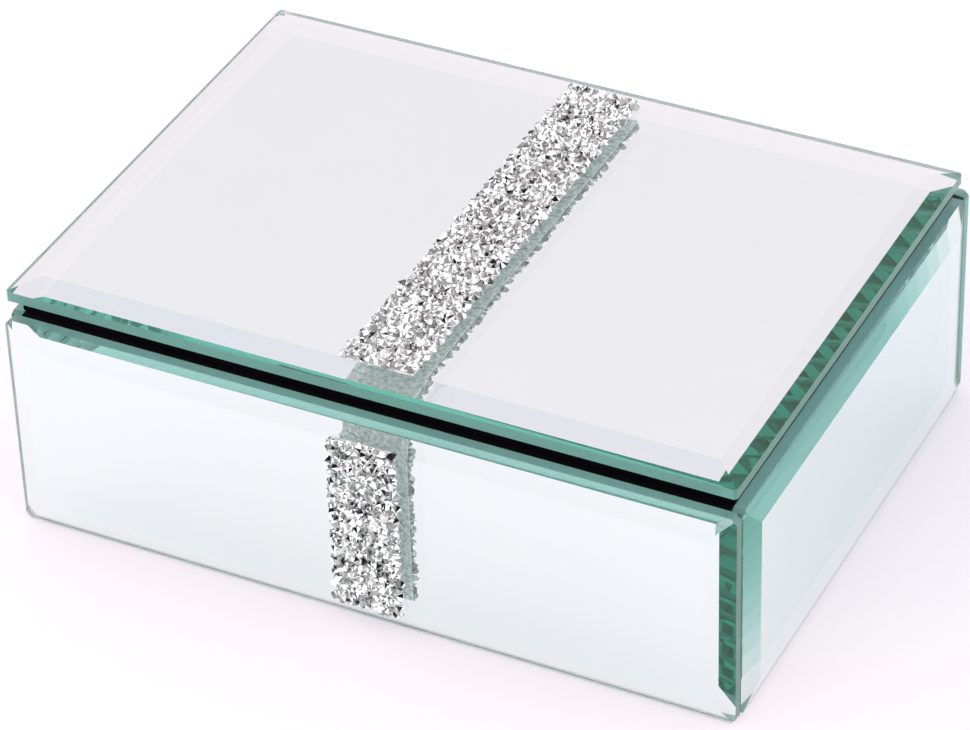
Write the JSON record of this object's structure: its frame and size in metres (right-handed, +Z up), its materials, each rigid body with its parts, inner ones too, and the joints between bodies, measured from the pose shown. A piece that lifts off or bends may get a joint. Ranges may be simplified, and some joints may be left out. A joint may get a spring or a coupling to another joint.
{
  "type": "mirrored trinket box",
  "caption": "Rectangular vanity trinket box clad in bevelled mirror plates, with a rear-hinged mirror lid and a strip of crystals across the lid and down the front.",
  "frame": {"origin": "on the table, under the middle of the box body, in the plane of the base felt's underside", "axes": "+X along the long front side to the viewer's right, +Y from the front to the hinged back, +Z up"},
  "size_m": [0.2072, 0.1627, 0.0763],
  "materials": {
    "mirror": "bevelled clear float glass, silvered and painted on the back, ground green edges",
    "fibreboard": "black-painted medium-density fibreboard",
    "felt": "black pressed felt",
    "velvet": "black short-pile velvet",
    "tape": "silver-white self-adhesive backing",
    "crystal": "foil-backed cut glass stones, set points up",
    "steel": "nickel-plated steel"
  },
  "bodies": {
    "box": {"front_mirror": "mirror", "front_core_wall": "fibreboard", "front_lining": "velvet", "right_mirror": "mirror", "right_core_wall": "fibreboard", "right_lining": "velvet", "back_mirror": "mirror", "back_core_wall": "fibreboard", "back_lining": "velvet", "left_mirror": "mirror", "left_core_wall": "fibreboard", "left_lining": "velvet", "base_felt": "felt", "base_board": "fibreboard", "floor_pad": "velvet", "left_hinge_box_leaf": "steel", "left_hinge_pin": "steel", "left_outer_box_screw": "steel", "left_inner_box_screw": "steel", "right_hinge_box_leaf": "steel", "right_hinge_pin": "steel", "right_outer_box_screw": "steel", "right_inner_box_screw": "steel", "front_crystal_tape": "tape", "front_crystals": "crystal"},
    "lid": {"lid_mirror": "mirror", "lid_board": "velvet", "lid_pad": "velvet", "lid_crystal_tape": "tape", "lid_crystals": "crystal", "left_hinge_lid_leaf": "steel", "left_outer_lid_screw": "steel", "left_inner_lid_screw": "steel", "right_hinge_lid_leaf": "steel", "right_outer_lid_screw": "steel", "right_inner_lid_screw": "steel"}
  },
  "joints": [
    {"name": "lid_hinge", "type": "hinge", "parent": "box", "child": "lid", "pos_m": [0, 0.0802, 0.06538], "axis": [-1, 0, 0], "range_deg": [0, 100]}
  ]
}
